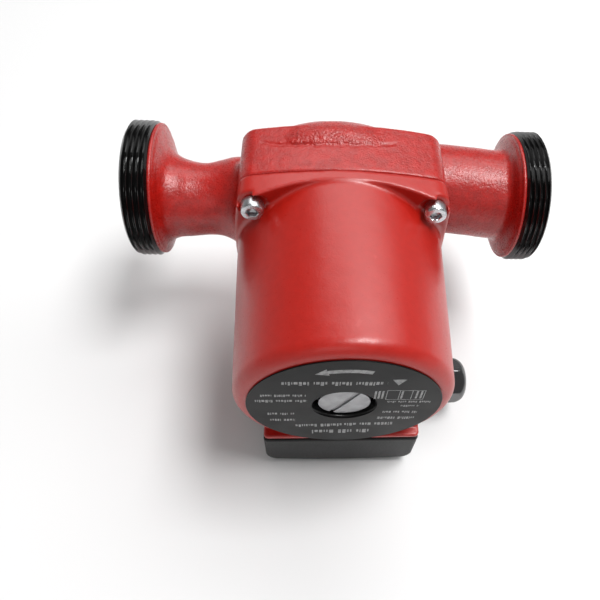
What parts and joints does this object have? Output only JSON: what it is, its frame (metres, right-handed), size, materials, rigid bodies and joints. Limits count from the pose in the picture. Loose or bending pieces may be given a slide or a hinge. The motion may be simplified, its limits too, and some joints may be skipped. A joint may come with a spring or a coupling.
{
  "type": "circulator pump",
  "caption": "In-line wet-rotor circulator with threaded ports, a round red motor, a round rating plate with a slotted vent plug, and a side terminal box with a cable gland.",
  "frame": {"origin": "where the pipe axis crosses the motor axis", "axes": "+X along the pipe from the discharge port to the suction port; -Y along the motor towards its rating plate; +Z away from the terminal box"},
  "size_m": [0.18, 0.135, 0.1267],
  "materials": {
    "red_cast_iron": "semi-gloss red enamel on an as-cast grain, black on the port threads",
    "red_cast_aluminium": "semi-gloss red enamel on a smooth die casting",
    "stainless": "pressed stainless sheet",
    "zinc_steel": "bright zinc plated steel",
    "nickel_brass": "satin nickel plating on brass",
    "brass": "plain brass",
    "copper": "varnished copper wire",
    "lamination_steel": "stacked electrical steel",
    "ceramic": "ground ceramic",
    "carbon": "carbon graphite",
    "rubber": "moulded rubber",
    "impeller_plastic": "glass-filled moulding",
    "pale_plastic": "pale moulded plastic",
    "black_plastic": "fine spark-eroded texture, satin",
    "nameplate_film": "dark grey printed film with light grey marks",
    "wire_insulation": "silicone sleeve"
  },
  "bodies": {
    "pump_body": {"pump_housing": "red_cast_iron", "impeller_neck_ring": "stainless", "housing_gasket": "rubber", "bearing_plate": "stainless", "pump_side_bearing": "ceramic", "motor_side_bearing": "ceramic", "rotor_can": "stainless", "stator_core": "lamination_steel", "stator_winding": "copper", "winding_leads": "wire_insulation", "motor_housing": "red_cast_aluminium", "flange_screw_top_left": "zinc_steel", "flange_screw_top_right": "zinc_steel", "flange_screw_bottom_right": "zinc_steel", "flange_screw_bottom_left": "zinc_steel", "nameplate": "nameplate_film", "terminal_box_base": "black_plastic", "terminal_box_lid": "black_plastic", "terminal_box_gasket": "rubber", "terminal_block": "pale_plastic", "terminal_screw_left": "brass", "terminal_screw_middle": "brass", "terminal_screw_right": "brass", "run_capacitor": "pale_plastic", "speed_switch": "pale_plastic", "base_screw_1": "zinc_steel", "base_screw_2": "zinc_steel", "earth_screw": "zinc_steel", "lid_screw": "zinc_steel", "gland_body": "black_plastic", "gland_seal": "rubber"},
    "rotor": {"rotor_shaft": "ceramic", "rotor_core": "lamination_steel", "rotor_jacket": "stainless", "thrust_bearing": "carbon", "impeller": "impeller_plastic"},
    "vent_seal": {"vent_plug_seal": "rubber"},
    "vent_plug": {"vent_plug": "nickel_brass"},
    "speed_knob": {"speed_knob": "black_plastic"},
    "gland_ring": {"gland_clamp_ring": "pale_plastic"},
    "gland_nut": {"gland_nut": "black_plastic"}
  },
  "joints": [
    {"name": "rotor_spin", "type": "hinge", "parent": "pump_body", "child": "rotor", "pos_m": [0, -0.06, 0], "axis": [0, -1, 0], "continuous": true},
    {"name": "vent_plug_travel", "type": "slide", "parent": "pump_body", "child": "vent_seal", "axis": [0, -1, 0], "range_m": [0, 0.006]},
    {"name": "vent_plug_turn", "type": "hinge", "parent": "vent_seal", "child": "vent_plug", "pos_m": [0, -0.1043, 0], "axis": [0, -1, 0], "range_deg": [0, 1440]},
    {"name": "speed_knob_turn", "type": "hinge", "parent": "pump_body", "child": "speed_knob", "pos_m": [-0.01, -0.078, -0.0777], "axis": [0, 0, -1], "range_deg": [-45, 45]},
    {"name": "gland_nut_travel", "type": "slide", "parent": "pump_body", "child": "gland_ring", "axis": [1, 0, 0], "range_m": [0, 0.0045]},
    {"name": "gland_nut_turn", "type": "hinge", "parent": "gland_ring", "child": "gland_nut", "pos_m": [0.052, -0.067, -0.0597], "axis": [1, 0, 0], "range_deg": [0, 1080]}
  ],
  "couplings": [
    {"joint": "vent_plug_turn", "follows": "vent_plug_travel", "rad_per_m": 4188.8},
    {"joint": "gland_nut_turn", "follows": "gland_nut_travel", "rad_per_m": 4188.8}
  ]
}
